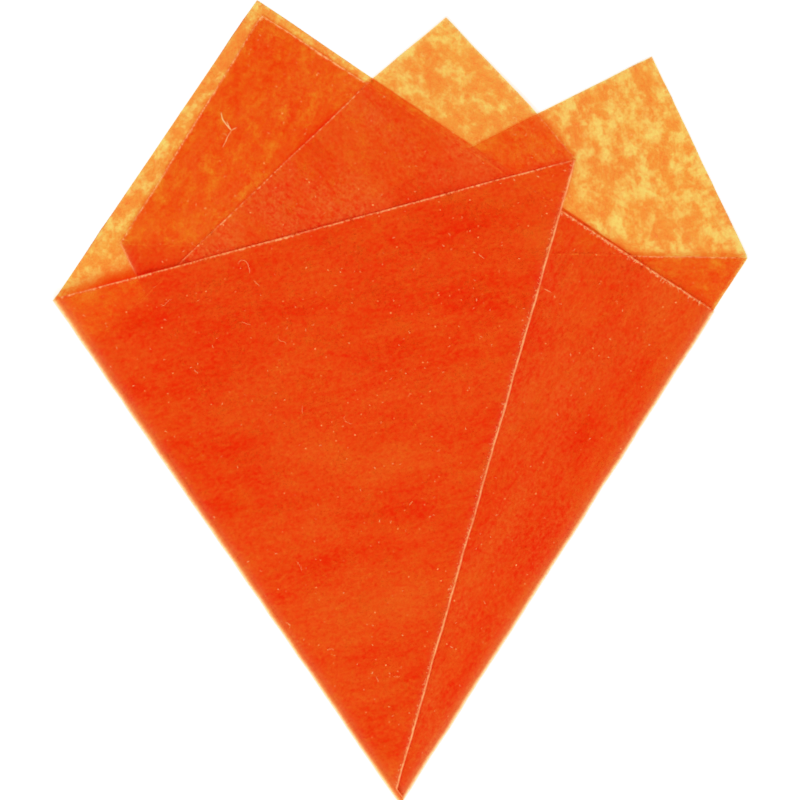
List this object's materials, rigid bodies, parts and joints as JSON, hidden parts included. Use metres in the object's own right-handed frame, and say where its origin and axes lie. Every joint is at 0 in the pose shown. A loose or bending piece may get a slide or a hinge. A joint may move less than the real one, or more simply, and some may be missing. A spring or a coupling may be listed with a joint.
{
  "type": "folded paper packet",
  "caption": "Square of thin translucent orange paper folded flat into a kite-shaped cornet packet; its front and right flaps turn on the long folded edges.",
  "frame": {"origin": "middle of the packet's underside, the face of the back panel that lies on the table", "axes": "+Y runs from the packet's point to its peaks, +X to the right as the front is seen, +Z out of the front"},
  "size_m": [0.0932, 0.1078, 0.0013],
  "materials": {
    "back_panel_paper": "thin translucent glassine, amber where it lies single",
    "inner_back_panel_paper": "thin translucent glassine, amber and cloudy where it lies single",
    "right_flap_inner_paper": "thin translucent glassine, red-orange over another layer",
    "right_flap_outer_paper": "thin translucent glassine, red-orange over another layer",
    "front_flap_inner_paper": "thin translucent glassine, red-orange over other layers",
    "front_flap_outer_paper": "thin translucent glassine, deep red-orange over five other layers",
    "creased_paper": "the same paper, paler where the crease has broken its surface"
  },
  "bodies": {
    "back": {"back_panel": "back_panel_paper", "inner_back_panel": "inner_back_panel_paper"},
    "right_flap": {"right_flap_inner_leaf": "right_flap_inner_paper", "right_flap_outer_leaf": "right_flap_outer_paper", "right_flap_crease": "creased_paper"},
    "front_flap": {"front_flap_inner_leaf": "front_flap_inner_paper", "front_flap_outer_leaf": "front_flap_outer_paper", "front_flap_crease": "creased_paper"}
  },
  "joints": [
    {"name": "left_fold", "type": "hinge", "parent": "back", "child": "front_flap", "pos_m": [-0.04653, 0.01367, 0.00065], "axis": [0.5653, -0.8249, 0], "range_deg": [0, 180]},
    {"name": "right_fold", "type": "hinge", "parent": "back", "child": "right_flap", "pos_m": [-0.00046, -0.05468, 0.0004], "axis": [0.5372, 0.8435, 0], "range_deg": [0, 25.3]}
  ],
  "couplings": [
    {"joint": "right_fold", "follows": "left_fold", "ratio": 0.14}
  ]
}
